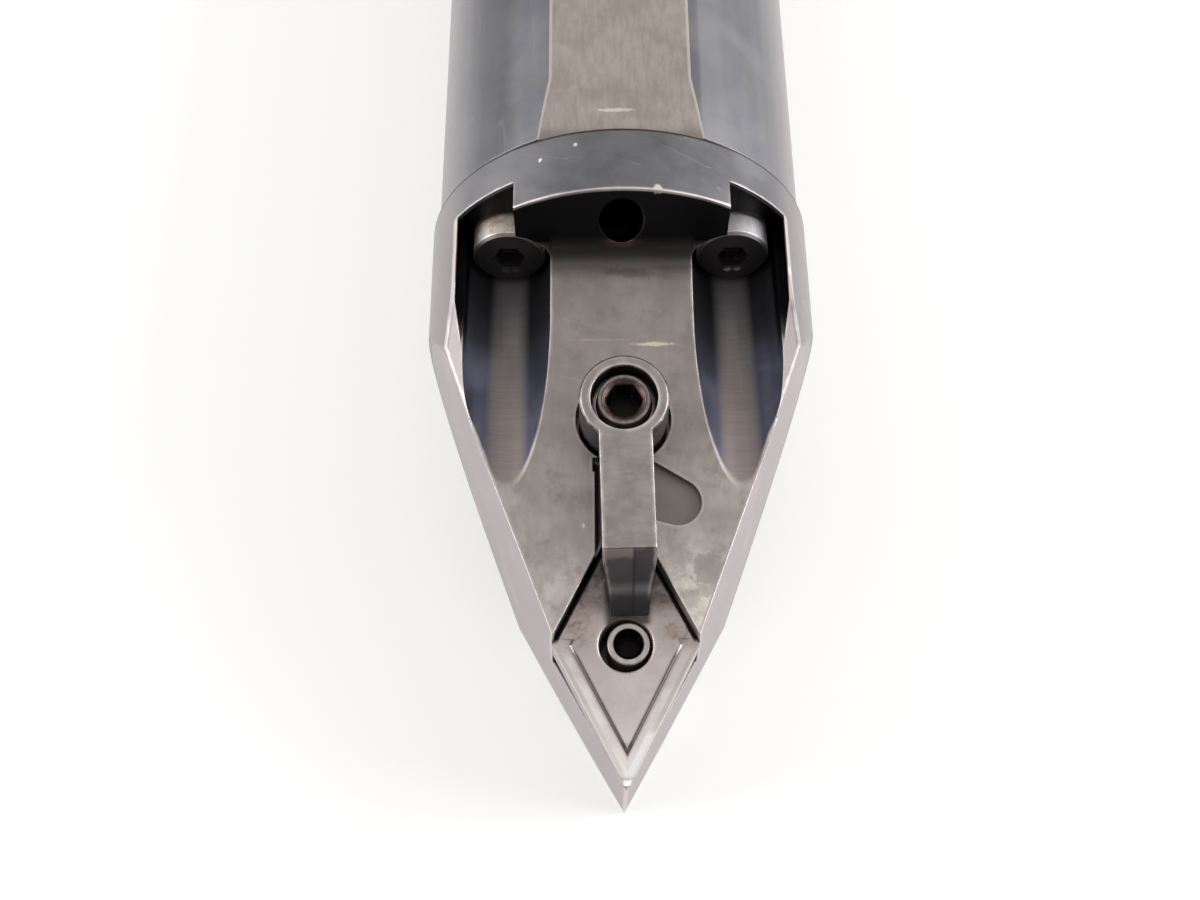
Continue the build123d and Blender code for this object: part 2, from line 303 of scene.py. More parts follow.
def dressed(node, material, edge=0.0, crease=15.0):
    """Merged copy of a CAD node with broken edges, which stands for the node."""
    mesh = frame["nodes"][node].data.copy()
    work = bmesh.new()
    work.from_mesh(mesh)
    bmesh.ops.remove_doubles(work, verts=work.verts, dist=2e-6)
    bmesh.ops.dissolve_limit(work, angle_limit=math.radians(0.4), verts=work.verts, edges=work.edges)
    for face in work.faces:
        face.smooth = True
    work.to_mesh(mesh)
    work.free()
    custom = mesh.attributes.get("custom_normal")
    if custom:
        mesh.attributes.remove(custom)
    mesh.set_sharp_from_angle(angle=math.radians(crease))
    mesh.materials.clear()
    mesh.materials.append(material)
    obj = bpy.data.objects.new(node + "_body", mesh)
    bpy.context.scene.collection.objects.link(obj)
    if edge:
        bevel = obj.modifiers.new("broken edges", "BEVEL")
        bevel.width = edge
        bevel.segments = 2
        bevel.limit_method = "ANGLE"
        bevel.angle_limit = math.radians(crease + 4)
        bevel.use_clamp_overlap = False
        bevel.harden_normals = True
    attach(obj, frame["nodes"][node]["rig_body"])
    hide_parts(node)
    return obj


blued, tree, shader = metal("blued bar steel", 0.85)
place = here(tree)
spot = axes(tree, place)
facing = axes(tree, here(tree, "Normal"))
ground = use(tree, tool_marks, Stretch=(1.0, 0.25, 1.0), Scale=1500.0)
turned = use(tree, tool_marks, Stretch=(0.25, 3.0, 0.25), Scale=900.0)
drawn = vmath(tree, "MULTIPLY", place, (1.0, 0.08, 1.0))
streak = between(tree, cloud(tree, 210.0, 2.0, 0.5, drawn), 0.36, 0.66)
mottle = mottled(tree, 150.0)
stain = between(tree, cloud(tree, 260.0, 3.0, 0.6), 0.45, 0.7)
round_out = from_axis(tree, spot)
flat = between(tree, calc(tree, "ABSOLUTE", facing["Z"]), 0.955, 0.985)
flat = meet(tree, flat, between(tree, round_out, 0.0120, 0.0140))
edge = use(tree, edge_wear, Reach=0.0007, Strength=2.6, Patches=500.0)["Mask"]
# round sides: blued, with paler streaks and a violet cast
colour = shade(tree, mottle, ink(108, 108, 110), ink(122, 121, 123))
colour = shade(tree, streak, colour, ink(138, 137, 140), 0.6)
colour = shade(tree, stain, colour, ink(112, 110, 128), 0.4)
# painted reflection: the sides facing left and right are painted paler; a band on the left is painted
# darker as painted shade, and a band on the right gets a painted sheen
lit_flanks = between(tree, calc(tree, "ABSOLUTE", facing["X"]), 0.78, 0.98)
colour = shade(tree, lit_flanks, colour, ink(162, 156, 158))
shaded_band = meet(tree, between(tree, facing["X"], -0.50, -0.62), between(tree, facing["X"], -0.86, -0.72))
colour = shade(tree, shaded_band, colour, ink(78, 78, 80), 0.6)
painted_sheen = meet(tree, between(tree, facing["X"], 0.40, 0.46), between(tree, facing["X"], 0.58, 0.51))
colour = shade(tree, painted_sheen, colour, ink(146, 145, 148), 0.5)
# flats: worn to warm grey, darker beside the joint as painted shade, bright along both edges
worn = shade(tree, ground["Tint"], ink(168, 156, 150), ink(184, 173, 167))
worn = shade(tree, stain, worn, ink(150, 140, 134), 0.4)
# painted shade on the flat beside the head's band
worn = shade(tree, between(tree, spot["Y"], 0.0022, 0.0006), worn, ink(120, 112, 108), 0.6)
rub = use(tree, mark_and_glint, Centre=(-0.0006, 0.00395, 0.0186), Half=(0.0026, 0.0003, 0.002), Breaks=1800.0)
worn = shade(tree, rub["Mask"], worn, ink(222, 212, 204))
colour = shade(tree, flat, colour, worn)
crest = meet(tree, flat, between(tree, round_out, bar_radius - 0.00012, bar_radius - 0.00006))
colour = shade(tree, crest, colour, ink(208, 200, 196), 0.8)
scuff = use(tree, scratches, Turn=1.45, Scale=420.0, Amount=0.2)["Mask"]
colour = shade(tree, scuff, colour, ink(176, 171, 168))
colour = shade(tree, edge, colour, ink(196, 188, 185), 0.55)
seam = between(tree, spot["Y"], 0.0005, 0.00025)
colour = shade(tree, seam, colour, ink(38, 34, 34))
rough = calc(tree, "ADD", between(tree, mottle, 0, 1, 0.38, 0.48), meet(tree, flat, 0.06))
height = calc(tree, "ADD", turned["Height"], meet(tree, ground["Height"], flat))
finish(tree, shader, colour, rough, height, 0.000012)
bar = dressed("shank", blued, 0.00012, 14.0)

# ---------------------------------------------------------------------------
# Port thread
# Quarter-inch pipe thread cut in the bar's rear coolant port. The ridges stand
# in from the bore, and the coolant fitting screws into them.
# ---------------------------------------------------------------------------
thread_start = 0.2263
thread_sizes = {"Radius": 0.0059, "Pitch": 0.001337, "Turns": 9.0, "Depth": 0.00024}

helix = bpy.data.node_groups.new("screw thread", "GeometryNodeTree")
sockets = {key: helix.interface.new_socket(key, in_out="INPUT", socket_type="NodeSocketFloat")
           for key in thread_sizes}
helix.interface.new_socket("Geometry", in_out="OUTPUT", socket_type="NodeSocketGeometry")
given = put(helix, "NodeGroupInput").outputs
path = put(helix, "GeometryNodeCurveSpiral", {
    "Resolution": 48, "Rotations": given["Turns"], "Height": meet(helix, given["Pitch"], given["Turns"]),
    "Start Radius": given["Radius"], "End Radius": given["Radius"]})
path = put(helix, "GeometryNodeSetCurveNormal", {0: path.outputs[0]}, mode="Z_UP")
flank = meet(helix, given["Pitch"], 0.4)
ridge = put(helix, "GeometryNodeCurvePrimitiveQuadrilateral", {
    "Width": meet(helix, given["Depth"], 2.0), "Bottom Height": flank, "Top Height": flank}, mode="KITE")
swept = put(helix, "GeometryNodeCurveToMesh", {
    "Curve": path.outputs[0], "Profile Curve": ridge.outputs[0], "Fill Caps": True})
laid = put(helix, "GeometryNodeTransform", {
    "Geometry": swept.outputs[0], "Rotation": (-math.pi / 2, 0, 0), "Translation": (0, thread_start, 0)})
laid = put(helix, "GeometryNodeRealizeInstances", {"Geometry": laid.outputs[0]})
laid = put(helix, "GeometryNodeSetMaterial", {"Geometry": laid.outputs[0], "Material": blued})
put(helix, "NodeGroupOutput", {0: laid.outputs[0]})

maker = bpy.data.objects.new("thread_maker", bpy.data.meshes.new("thread_maker"))
bpy.context.scene.collection.objects.link(maker)
modifier = maker.modifiers.new("thread", "NODES")
modifier.node_group = helix
for key, value in thread_sizes.items():
    modifier[sockets[key].identifier] = value
mesh = bpy.data.meshes.new_from_object(maker.evaluated_get(bpy.context.evaluated_depsgraph_get()))
bpy.data.objects.remove(maker)
work = bmesh.new()
work.from_mesh(mesh)
bmesh.ops.remove_doubles(work, verts=work.verts, dist=1e-6)
bmesh.ops.recalc_face_normals(work, faces=work.faces)
work.to_mesh(mesh)
work.free()
thread = bpy.data.objects.new("port_thread", mesh)
bpy.context.scene.collection.objects.link(thread)
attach(thread, frame["nodes"]["shank"]["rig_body"])

# ---------------------------------------------------------------------------
# Coolant seal
# Rubber O-ring that seals the coolant path. It sits in a groove round the
# head's spigot, inside the closed joint.
# ---------------------------------------------------------------------------
rubber, tree, shader = metal("nitrile rubber", 0.0)
grain = cloud(tree, 2500.0, 3.0, 0.6)
colour = shade(tree, grain, ink(22, 22, 23), ink(38, 38, 40))
finish(tree, shader, colour, between(tree, grain, 0.3, 0.7, 0.5, 0.7), grain, 0.00001)
ring = dressed("coolant_seal", rubber, 0.0, 40.0)

# ---------------------------------------------------------------------------
# Locating dowel
# Hardened and ground steel pin pressed across the joint. It keeps the head
# from turning on the bar.
# ---------------------------------------------------------------------------
hardened, tree, shader = metal("hardened dowel steel", 1.0)
marks = use(tree, tool_marks, Stretch=(0.3, 3.0, 0.3), Scale=2500.0)
colour = shade(tree, marks["Tint"], ink(150, 148, 146), ink(182, 180, 177))
finish(tree, shader, colour, between(tree, marks["Tint"], 0, 1, 0.25, 0.38), marks["Height"], 0.000004)
dowel = dressed("locating_dowel", hardened, 0.0, 25.0)

# ---------------------------------------------------------------------------
# Cutting head
# Alloy steel, milled all over and blued. Open faces have rubbed to warm grey,
# edges are bright, and the pockets keep their dark blue finish. Shade in the
# pockets, under the tab and beside the clamp, the land's paler light toward the
# nose and the paler sides are painted into the colour.
# ---------------------------------------------------------------------------
land_tilt = math.radians(7.8)
land_up = (0.0, -math.sin(land_tilt), math.cos(land_tilt))
wall_y = -0.0077
land_top = 0.010
land_level = Vector((0, wall_y, land_top)).dot(Vector(land_up))


def past(tree, point, normal, limit, soft=0.0002):
    """1 where the point lies on or beyond a plane, fading over the last part of a millimetre."""
    value = vmath(tree, "DOT_PRODUCT", point, normal)
    return between(tree, value, limit - 0.0001 - soft, limit - 0.0001)


def above_land(tree, place):
    """Height over the tilted land."""
    return calc(tree, "SUBTRACT", vmath(tree, "DOT_PRODUCT", place, land_up), land_level)


specks, given, gives = effect("specks", {"Scale": 500.0, "Size": 0.16, "Share": 0.12}, ["Mask"])
cell = put(specks, "ShaderNodeTexVoronoi", {"Vector": here(specks), "Scale": given["Scale"]})
lucky = put(specks, "ShaderNodeSeparateColor", {0: cell.outputs["Color"]}).outputs
chosen = calc(specks, "LESS_THAN", lucky[0], given["Share"])
size = meet(specks, given["Size"], lucky[1])
near = calc(specks, "LESS_THAN", cell.outputs["Distance"], size)
specks.links.new(meet(specks, near, chosen), gives["Mask"])

head_steel, tree, shader = metal("milled head steel", 0.85)
place = here(tree)
spot = axes(tree, place)
facing = axes(tree, here(tree, "Normal"))
wide = calc(tree, "ABSOLUTE", spot["X"])
half = put(tree, "ShaderNodeCombineXYZ", {0: wide, 1: spot["Y"], 2: spot["Z"]}).outputs[0]
level = above_land(tree, place)
round_out = from_axis(tree, spot)
marks = use(tree, tool_marks, Stretch=(1.0, 0.3, 1.0), Scale=1100.0)
rings = use(tree, tool_marks, Stretch=(0.1, 3.0, 0.1), Scale=1300.0)
mottle = mottled(tree, 170.0)
blotch = between(tree, cloud(tree, 420.0, 4.0, 0.65), 0.5, 0.72)
edge = use(tree, edge_wear, Reach=0.0005, Strength=2.4, Patches=600.0)["Mask"]
# open land, painted paler toward the nose as painted light, and rubbed in patches near the nose
base = shade(tree, mottle, ink(160, 150, 147), ink(173, 163, 159))
pale = shade(tree, mottle, ink(184, 175, 170), ink(212, 203, 196))
colour = shade(tree, between(tree, spot["Y"], -0.020, -0.046), base, pale)
patch = between(tree, cloud(tree, 330.0, 5.0, 0.7), 0.46, 0.60)
patch = meet(tree, patch, between(tree, spot["Y"], -0.036, -0.043),
             between(tree, spot["X"], 0.002, 0.006, 0.2, 1.0))
colour = shade(tree, patch, colour, ink(240, 233, 222))
colour = shade(tree, marks["Tint"], colour, ink(134, 126, 122), 0.22)
colour = shade(tree, blotch, colour, ink(118, 106, 101), 0.32)
for centre, size, breaks, share, tint in (
        ((0.0008, -0.0101, 0.0097), (0.0030, 0.0008, 0.002), 900.0, 0.5, ink(96, 84, 78)),
        ((0.0032, -0.0181, 0.0086), (0.0026, 0.0003, 0.002), 1600.0, 1.0, ink(226, 214, 190)),
        ((-0.0025, -0.0176, 0.0086), (0.0034, 0.00012, 0.002), 2200.0, 0.5, ink(196, 184, 168)),
        ((-0.0040, -0.0370, 0.0060), (0.0002, 0.0003, 0.002), 2000.0, 1.0, ink(226, 222, 212))):
    rub = use(tree, mark_and_glint, Centre=centre, Half=size, Breaks=breaks)["Mask"]
    colour = shade(tree, rub, colour, tint, share)
# floor of the clamp's recess, painted darker as the finger's painted shadow, and the slot on its left
# painted black as painted shade
sunk = meet(tree, between(tree, level, -0.0003, -0.0006), between(tree, wide, 0.0079, 0.0077),
            between(tree, spot["Y"], -0.0265, -0.0270))
colour = shade(tree, sunk, colour, shade(tree, mottle, ink(134, 125, 122), ink(150, 140, 137)))
slot_shade = meet(tree, sunk, between(tree, spot["X"], -0.0022, -0.0026))
colour = shade(tree, slot_shade, colour, ink(34, 30, 30))
# pockets, which keep their dark blue finish; their steep walls, most of all near the screws, are also
# painted darker as painted shade
tapered = calc(tree, "MAXIMUM", past(tree, half, (0.930, -0.365, 0.038), 0.02410),
               past(tree, half, (0.869, -0.495, -0.030), 0.02967))
skin = between(tree, round_out, 0.0201, 0.0203)
outboard = between(tree, wide, 0.01165, 0.0118)
bevelled = meet(tree, past(tree, half, (-0.500, -0.181, 0.847), 0.003493), outboard,
                between(tree, spot["Y"], -0.0085, -0.0100), between(tree, facing["Z"], 0.6, 0.8),
                between(tree, level, -0.0001, 0.0), between(tree, spot["Y"], -0.0270, -0.0266))
inside = meet(tree, other(tree, tapered), other(tree, skin), other(tree, bevelled))
trench = meet(tree, outboard, inside, between(tree, spot["Y"], -0.028, -0.026))
beside_recess = calc(tree, "MAXIMUM", between(tree, spot["Y"], -0.0265, -0.0255),
                     between(tree, wide, 0.0077, 0.0079))
deep = meet(tree, between(tree, level, -0.0001, -0.0003), inside, between(tree, wide, 0.00722, 0.00728),
            beside_recess)
pocket = calc(tree, "MAXIMUM", deep, trench)
floor_tint = shade(tree, between(tree, spot["Y"], -0.011, -0.022), ink(150, 146, 148), ink(150, 138, 134))
floor_tint = shade(tree, rings["Tint"], floor_tint, ink(110, 102, 100), 0.3)
wall_tint = shade(tree, mottle, ink(68, 69, 86), ink(88, 89, 107))
wall_tint = shade(tree, between(tree, spot["Y"], -0.021, -0.013), wall_tint, ink(46, 46, 50))
steep = between(tree, facing["Z"], 0.993, 0.86)
colour = shade(tree, pocket, colour, shade(tree, steep, floor_tint, wall_tint))
# painted shade: the screw trenches' outer rim and their faces toward the front are painted near black
painted_shade_rim = meet(tree, between(tree, wide, 0.0157, 0.0160), between(tree, spot["Y"], -0.0215, -0.0150))
painted_shade_rim = calc(tree, "MAXIMUM", painted_shade_rim, between(tree, facing["Y"], -0.5, -0.8))
painted_shade_rim = meet(tree, trench, painted_shade_rim)
colour = shade(tree, painted_shade_rim, colour, ink(24, 24, 27))
bevel_tint = shade(tree, mottle, ink(138, 129, 131), ink(152, 143, 144))
colour = shade(tree, bevelled, colour, bevel_tint)
# wall under the tab, painted near black as painted shade on its dark finish, painted shade at its foot,
# and a reddish painted highlight on the coolant hole's lower lip
wall = meet(tree, between(tree, level, 0.0003, 0.002), between(tree, facing["Y"], -0.2, -0.8))
colour = shade(tree, wall, colour, ink(27, 27, 28))
foot = meet(tree, between(tree, spot["Y"], -0.0114, -0.0080), between(tree, level, 0.003, 0.0015),
            between(tree, wide, 0.00745, 0.0073))
colour = shade(tree, foot, colour, ink(60, 55, 56))
# reddish painted highlight on the lower lip of the coolant hole
rust_and_lip_highlight = use(tree, mark_and_glint, Centre=(0.0001, -0.0078, 0.0117), Half=(0.0026, 0.0009, 0.0008), Breaks=700.0)
colour = shade(tree, rust_and_lip_highlight["Mask"], colour, ink(122, 84, 80), 0.8)
# turned and milled outside, its sides facing left and right painted paler as painted reflection
flank = shade(tree, mottle, ink(168, 158, 160), ink(182, 172, 172))
colour = shade(tree, tapered, colour, flank)
rim = shade(tree, mottle, ink(106, 105, 109), ink(120, 119, 122))
lit_sides = between(tree, calc(tree, "ABSOLUTE", facing["X"]), 0.72, 0.96)
colour = shade(tree, skin, colour, shade(tree, lit_sides, rim, ink(158, 150, 152)))
# scuffs, bright edges, dust and burrs
# no scuffs or worn edges where shade is painted
painted_dark = calc(tree, "MAXIMUM", calc(tree, "MAXIMUM", wall, foot), painted_shade_rim)
scuff = use(tree, scratches, Turn=0.25, Scale=500.0, Amount=0.3)["Mask"]
scuff = meet(tree, scuff, other(tree, pocket), other(tree, painted_dark))
colour = shade(tree, scuff, colour, ink(190, 182, 175))
bare = meet(tree, other(tree, painted_dark), other(tree, meet(tree, trench, between(tree, wide, 0.0120, 0.0150))))
colour = shade(tree, meet(tree, edge, bare), colour, ink(214, 203, 202), 0.8)
lip = meet(tree, between(tree, spot["Y"], -0.00745, -0.00760), between(tree, round_out, 0.0202, 0.0204),
           between(tree, wide, 0.0110, 0.0108), between(tree, mottle, 0, 1, 0.6, 1.0))
colour = shade(tree, lip, colour, ink(228, 221, 217))
dust = use(tree, specks, Scale=420.0, Size=0.10, Share=0.04)["Mask"]
colour = shade(tree, dust, colour, ink(196, 192, 186))
for centre, size in (((0.00348, -0.00757, 0.0203), 0.0007), ((0.0170, -0.01128, 0.01163), 0.0007),
                     ((-0.0107, -0.0101, 0.0061), 0.0003), ((-0.0114, -0.0141, 0.0056), 0.0003),
                     ((-0.0081, -0.0029, 0.0189), 0.0003), ((-0.0046, -0.0019, 0.0201), 0.0003)):
    burr = use(tree, mark_and_glint, Centre=centre, Half=(size, size, size), Breaks=2500.0)["Mask"]
    colour = shade(tree, burr, colour, ink(226, 218, 214))
seam = between(tree, spot["Y"], -0.0007, -0.0004)
colour = shade(tree, seam, colour, ink(36, 32, 32))
height = calc(tree, "ADD", marks["Height"], meet(tree, rings["Height"], pocket))
share = calc(tree, "MAXIMUM", between(tree, pocket, 0.0, 1.0, 0.85, 0.45), painted_shade_rim)
tree.links.new(share, shader.inputs["Metallic"])
finish(tree, shader, colour, between(tree, mottle, 0, 1, 0.38, 0.5), height, 0.000012, 0.00018)
head = dressed("cutting_head", head_steel, 0.0, 16.0)

# ---------------------------------------------------------------------------
# Head screws
# Three socket cap screws of high-tensile steel, blackened. They hold the head
# on the bar; the left one has begun to rust. Their sides are painted pale as
# painted light from above, the lower screw's a little darker as painted shade,
# and their faces and sockets are painted dark as painted shade.
# ---------------------------------------------------------------------------
screw_tilt = 0.098
screw_y = -0.008
socket_low = -0.0020


def blackened(name, under, over, rust_and_lip_highlight, x, z, rise):
    """Screw steel: sides between two pale tints that are painted light, a share of rust, face and socket in
    painted shade, painted glints, and the axis where it meets screw_y.
    """
    material, tree, shader = metal(name, 0.4)
    spot = axes(tree, here(tree))
    climb = calc(tree, "MULTIPLY_ADD", spot["Y"], -rise, z + screw_y * rise)
    off = put(tree, "ShaderNodeCombineXYZ", {0: calc(tree, "SUBTRACT", spot["X"], x),
                                             1: calc(tree, "SUBTRACT", spot["Z"], climb)}).outputs[0]
    off = vmath(tree, "LENGTH", off)
    marks = use(tree, tool_marks, Stretch=(1.0, 0.15, 1.0), Scale=2600.0)
    mottle = mottled(tree, 500.0, 0.65)
    edge = use(tree, edge_wear, Reach=0.0004, Strength=2.0, Patches=900.0)["Mask"]
    face = between(tree, axes(tree, here(tree, "Normal"))["Y"], -0.35, -0.85)
    face = calc(tree, "MAXIMUM", face, between(tree, off, 0.0034, 0.0031))
    # painted light: the sides' pale tints stand for light falling from above
    colour = shade(tree, mottle, under, over)
    colour = shade(tree, marks["Tint"], colour, ink(126, 118, 112), 0.2)
    bloom = meet(tree, between(tree, cloud(tree, 800.0, 5.0, 0.7), 0.46, 0.62), rust_and_lip_highlight)
    colour = shade(tree, bloom, colour, shade(tree, mottle, ink(176, 128, 88), ink(212, 178, 138)))
    colour = shade(tree, edge, colour, ink(170, 160, 146), 0.5)
    # painted shade on the face and in the socket
    colour = shade(tree, face, colour, ink(72, 69, 69))
    colour = shade(tree, meet(tree, face, between(tree, off, 0.0018, 0.0015)), colour, ink(72, 68, 68))
    # painted glints in the socket, faint on the left screw
    for shift, share in ((-0.0004, 1.0), (0.0006, 0.8)):
        glint = use(tree, mark_and_glint, Centre=(x + shift, screw_y, z + socket_low),
                    Half=(0.0005, 0.003, 0.0004), Breaks=2600.0)["Mask"]
        colour = shade(tree, glint, colour, ink(214, 206, 202), share if x > 0 else 0.2 * share)
    tree.links.new(between(tree, face, 0.0, 1.0, 0.4, 0.7), shader.inputs["Metallic"])
    rough = between(tree, bloom, 0, 1, 0.4, 0.62)
    finish(tree, shader, colour, rough, calc(tree, "ADD", marks["Height"], bloom), 0.00001)
    return material


for node, name, under, over, rust_and_lip_highlight, x, z, rise in (
        ("head_screw_left", "rusting screw steel", ink(246, 238, 229), ink(253, 246, 238), 0.75,
         -0.0117, 0.0084, screw_tilt),
        ("head_screw_right", "blackened screw steel", ink(222, 220, 225), ink(238, 236, 240), 0.1,
         0.0117, 0.0084, screw_tilt),
        ("head_screw_lower", "shaded screw steel", ink(190, 188, 192), ink(208, 205, 210), 0.1,
         0.0, -0.0143, -screw_tilt)):
    screw = dressed(node, blackened(name, under, over, rust_and_lip_highlight, x, z, rise), 0.00008, 25.0)

# ---------------------------------------------------------------------------
# Shim
# Ground carbide plate that the insert sits on. It keeps the seat in the steel
# head from being crushed.
# ---------------------------------------------------------------------------
shim_grey, tree, shader = metal("ground carbide", 0.8)
marks = use(tree, tool_marks, Stretch=(0.3, 1.0, 2.0), Scale=1500.0)
colour = shade(tree, marks["Tint"], ink(92, 90, 92), ink(116, 113, 114))
edge = use(tree, edge_wear, Reach=0.0003, Strength=2.0, Patches=900.0)["Mask"]
colour = shade(tree, edge, colour, ink(176, 172, 170), 0.6)
finish(tree, shader, colour, between(tree, marks["Tint"], 0, 1, 0.3, 0.42), marks["Height"], 0.000006)
plate = dressed("shim", shim_grey, 0.00006, 20.0)

# ---------------------------------------------------------------------------
# Insert
# Pressed and sintered carbide, 55 degree diamond with a chip groove along its
# edges. Heat and oil have left brown stains round the clamp's nose. The clamp's
# shade, the groove's dark lines and highlights along the edges are painted into
# the colour.
# ---------------------------------------------------------------------------
seat = Vector((0, -0.04776, 0.00186))
stand = Matrix.Translation(seat) @ Matrix.Rotation(land_tilt, 4, "X")
inscribed = 0.00635
half_point = math.radians(27.5)
thickness = 0.00476
nose = 0.0008
hole = 0.00258
steps = 480

carbide, tree, shader = metal("sintered carbide", 0.7)
place = here(tree)
spot = axes(tree, place)
facing = axes(tree, here(tree, "Normal"))
beside = calc(tree, "ABSOLUTE", spot["X"])
grain = cloud(tree, 2600.0, 3.0, 0.6)
mottle = mottled(tree, 260.0)
bright = between(tree, spot["Y"], -0.052, -0.058)
colour = shade(tree, mottle, ink(204, 193, 189), ink(218, 208, 204))
colour = shade(tree, bright, colour, ink(238, 227, 223))
colour = shade(tree, grain, colour, ink(176, 164, 160), 0.2)
# brown stains and oil round the clamp's nose; the dark haze beside it is partly stain and partly the
# clamp's painted shade, and the strip under the nose's end is a painted shadow
stain = cloud(tree, 520.0, 6.0, 0.75)
stain_and_shade = calc(tree, "MULTIPLY_ADD", beside, 0.25, meet(tree, spot["Y"], -1.0))
stain_and_shade = meet(tree, between(tree, stain_and_shade, 0.0467, 0.0432), between(tree, stain, 0.30, 0.55, 0.55, 1.0))
colour = shade(tree, stain_and_shade, colour, ink(82, 71, 69), 0.9)
burn = meet(tree, between(tree, spot["Y"], -0.0500, -0.0462), between(tree, beside, 0.0024, 0.0042),
            between(tree, stain, 0.40, 0.60))
brown = between(tree, cloud(tree, 1500.0, 5.0, 0.7), 0.42, 0.58)
brown = shade(tree, brown, ink(112, 92, 84), ink(186, 156, 138))
colour = shade(tree, burn, colour, brown, 0.65)
nose_shadow = meet(tree, between(tree, spot["Y"], -0.0461, -0.0455), between(tree, spot["X"], -0.0024, -0.0015),
             between(tree, spot["X"], 0.0028, 0.0020))
colour = shade(tree, nose_shadow, colour, ink(40, 33, 32), 0.85)
# painted shade on the insert's sides
colour = shade(tree, between(tree, facing["Z"], 0.5, 0.2), colour, ink(146, 136, 134))
# bands along the edges, by the distance in from the nearest side: the groove's dark line and the step are
# painted shade, and the band inside the edge and the strip near the tip are painted highlights
forth = vmath(tree, "ADD", place, (0, -seat[1], -seat[2]))
forth = vmath(tree, "DOT_PRODUCT", forth, (0, math.cos(land_tilt), math.sin(land_tilt)))
reach = calc(tree, "ADD", meet(tree, beside, math.cos(half_point)),
             meet(tree, calc(tree, "ABSOLUTE", forth), math.sin(half_point)))
inset = calc(tree, "SUBTRACT", inscribed, reach)
front = between(tree, forth, 0.0, -0.0015)
groove = meet(tree, between(tree, inset, 0.00130, 0.00150), between(tree, inset, 0.00200, 0.00168), front)
colour = shade(tree, groove, colour, ink(132, 120, 117), 0.7)
step = meet(tree, between(tree, inset, 0.00142, 0.00150), between(tree, inset, 0.00184, 0.00172),
            between(tree, forth, 0.0, -0.0012, 0.0, 0.85))
colour = shade(tree, step, colour, ink(78, 68, 66))
lit_band = meet(tree, between(tree, inset, 0.0004, 0.0006), between(tree, inset, 0.0013, 0.0011), front,
              between(tree, mottle, 0, 1, 0.5, 1.0))
colour = shade(tree, lit_band, colour, ink(250, 242, 238), 0.6)
tip_highlight = meet(tree, between(tree, inset, 0.00010, 0.00018), between(tree, inset, 0.0009, 0.0007),
           between(tree, forth, -0.0080, -0.0088), between(tree, spot["X"], -0.0008, 0.0))
colour = shade(tree, tip_highlight, colour, ink(255, 253, 252))
shadow = between(tree, calc(tree, "ADD", reach, meet(tree, grain, 0.00015)), 0.00598, 0.00615)
shadow = meet(tree, shadow, between(tree, forth, 0.0, 0.0006))
colour = shade(tree, shadow, colour, ink(18, 15, 15))
brink = meet(tree, between(tree, inset, 0.00012, 0.00006), front, between(tree, facing["Z"], 0.3, 0.6))
colour = shade(tree, brink, colour, ink(240, 233, 229), 0.6)
finish(tree, shader, colour, between(tree, mottle, 0, 1, 0.26, 0.36), grain, 0.000003)


def rim_point(angle, scale=1.0):
    """Point on the insert's outline, its two points rounded to 0.8 mm."""
    c, s = math.cos(angle), math.sin(angle)
    far = inscribed / (math.cos(half_point) * abs(c) + math.sin(half_point) * abs(s))
    middle = (inscribed - nose) / math.sin(half_point)
    along = middle * abs(s)
    if far * abs(s) > middle + nose * math.sin(half_point):
        far = along + math.sqrt(max(0.0, along * along - middle * middle + nose * nose))
    return Vector((far * c * scale, far * s * scale, 0))


turns = [math.tau * i / steps for i in range(steps)]
rows = []
# flank, edge, chip groove and island; the groove is shallow on the half under the clamp
for inset, drop in ((0, -thickness + 0.00005), (0, -0.00005), (0.00004, 0), (0.00022, 0),
                    (0.0004, -0.00002), (0.0007, -0.00006), (0.001, -0.0001), (0.0013, -0.00014),
                    (0.00146, -0.00015), (0.00156, -0.0001), (0.00168, -0.00001), (0.0018, 0)):
    row = [rim_point(angle, 1 - inset / inscribed) for angle in turns]
    for p in row:
        p.z = drop * 0.25 if p.y > 0.0006 and 0 > drop > -0.0002 else drop
    rows.append(row)
island = rows[-1]
# from the island to the hole, through it, and back to the underside
for share, radius, drop in ((0.4, hole, 0), (0.8, hole, 0), (1, hole + 0.00035, 0),
                            (1, hole + 0.0001, -0.00012), (1, hole, -0.00035),
                            (1, hole, -thickness + 0.00035), (1, hole + 0.00035, -thickness)):
    row = []
    for angle, start in zip(turns, island):
        p = start.lerp(Vector((radius * math.cos(angle), radius * math.sin(angle), 0)), share)
        p.z = drop
        row.append(p)
    rows.append(row)
under = [rim_point(angle, 0.992) for angle in turns]
for p in under:
    p.z = -thickness
rows.append(under)
work = bmesh.new()
loops = [[work.verts.new(stand @ p) for p in row] for row in rows]
for low, high in zip(loops, loops[1:] + loops[:1]):
    for i in range(steps):
        face = work.faces.new((low[i], low[(i + 1) % steps], high[(i + 1) % steps], high[i]))
        face.smooth = True
bmesh.ops.recalc_face_normals(work, faces=work.faces)
mesh = bpy.data.meshes.new("insert_body")
work.to_mesh(mesh)
work.free()
mesh.set_sharp_from_angle(angle=math.radians(35))
mesh.materials.append(carbide)
tip = bpy.data.objects.new("insert_body", mesh)
bpy.context.scene.collection.objects.link(tip)
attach(tip, frame["nodes"]["insert"]["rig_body"])
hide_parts("insert")

# ---------------------------------------------------------------------------
# Lock pin
# Eccentric pin of hardened steel in the insert's hole. Half a turn with a key
# pulls the insert back into its seat.
# ---------------------------------------------------------------------------
pin_top = stand @ Vector((0.00027, 0.0002, 0))


def off_tilted(tree, origin):
    """Distance from an axis through the origin that stands square on the land."""
    place = vmath(tree, "SUBTRACT", here(tree), tuple(origin))
    return vmath(tree, "LENGTH", vmath(tree, "CROSS_PRODUCT", place, land_up))


